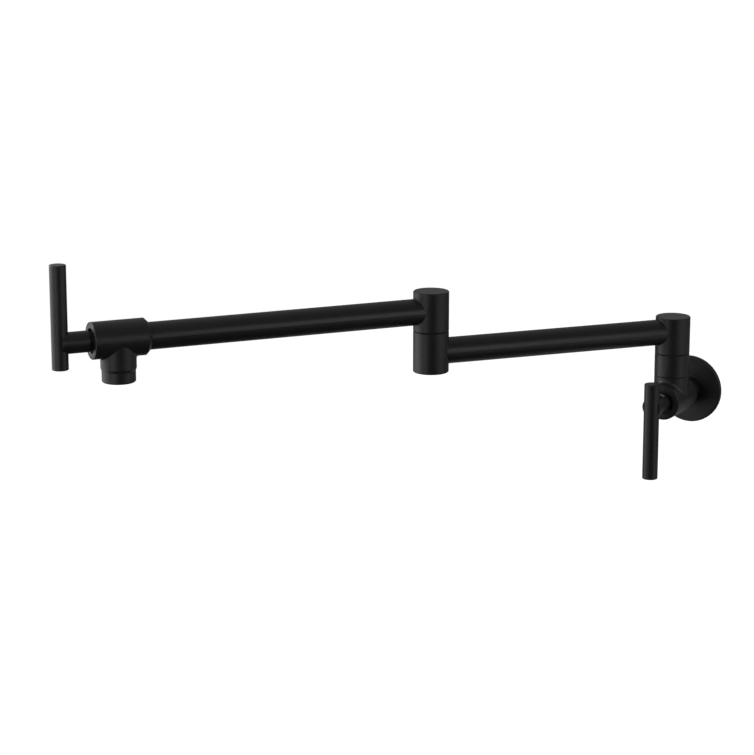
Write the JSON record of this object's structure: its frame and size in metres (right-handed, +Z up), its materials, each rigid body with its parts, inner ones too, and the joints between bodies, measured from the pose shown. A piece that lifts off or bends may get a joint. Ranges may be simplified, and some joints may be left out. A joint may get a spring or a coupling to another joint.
{
  "type": "wall-mounted kitchen faucet",
  "caption": "Wall-mounted folding kitchen faucet: a round wall flange and valve, two swivelling arms on upright hubs, and a drop spout with its own valve and bar lever handles.",
  "frame": {"origin": "centre of the threaded inlet on the wall plane, at the back of the flange", "axes": "+Z up, +Y into the wall along the inlet, -Y out into the room"},
  "size_m": [0.3335, 0.4346, 0.1982],
  "materials": {
    "matte_black": "matte black coat on turned and cast brass",
    "brass": "machined brass",
    "ceramic": "polished alumina ceramic",
    "rubber": "black sealing rubber",
    "ptfe": "white bearing plastic",
    "fibre": "red fibre washer",
    "stainless": "plain stainless steel",
    "aerator_plastic": "grey moulded plastic",
    "cartridge_nylon": "black glass-filled nylon"
  },
  "bodies": {
    "wall_base": {"wall_flange": "matte_black", "flange_gasket": "rubber", "valve_body": "matte_black", "collar_gasket": "fibre", "swivel_collar": "matte_black", "wall_thrust_washer": "ptfe", "wall_retaining_screw": "stainless", "wall_bonnet_ring": "matte_black", "wall_cartridge_housing": "cartridge_nylon", "wall_seat_seal": "rubber", "wall_fixed_disc": "ceramic"},
    "wall_handle": {"wall_moving_disc": "ceramic", "wall_valve_stem": "brass", "wall_stem_o_ring": "rubber", "wall_handle_hub": "matte_black", "wall_handle_bar": "matte_black", "wall_set_screw": "stainless"},
    "inner_arm": {"wall_swivel_post": "brass", "wall_post_o_rings": "rubber", "wall_swivel_hub": "matte_black", "inner_tube": "matte_black", "elbow_lower_hub": "matte_black", "elbow_thrust_washer": "ptfe", "elbow_retaining_screw": "stainless"},
    "outer_arm": {"elbow_post": "brass", "elbow_post_o_rings": "rubber", "elbow_upper_hub": "matte_black", "outer_tube": "matte_black", "spout_body": "matte_black", "aerator_housing": "matte_black", "aerator_washer": "rubber", "aerator_insert": "aerator_plastic", "spout_bonnet_ring": "matte_black", "spout_cartridge_housing": "cartridge_nylon", "spout_seat_seal": "rubber", "spout_fixed_disc": "ceramic"},
    "spout_handle": {"spout_moving_disc": "ceramic", "spout_valve_stem": "brass", "spout_stem_o_ring": "rubber", "spout_handle_hub": "matte_black", "spout_handle_bar": "matte_black", "spout_set_screw": "stainless"}
  },
  "joints": [
    {"name": "wall_swivel", "type": "hinge", "parent": "wall_base", "child": "inner_arm", "pos_m": [0, -0.0385, 0], "axis": [0, 0, 1], "range_deg": [-51, 129]},
    {"name": "elbow_swivel", "type": "hinge", "parent": "inner_arm", "child": "outer_arm", "pos_m": [-0.12844, -0.19712, 0], "axis": [0, 0, 1], "continuous": true},
    {"name": "wall_handle_turn", "type": "hinge", "parent": "wall_base", "child": "wall_handle", "pos_m": [0, -0.0759, 0], "axis": [0, -1, 0], "range_deg": [0, 90]},
    {"name": "spout_handle_turn", "type": "hinge", "parent": "outer_arm", "child": "spout_handle", "pos_m": [-0.3004, -0.42865, 0.085], "axis": [-0.5962, -0.8028, 0], "range_deg": [0, 90]}
  ]
}
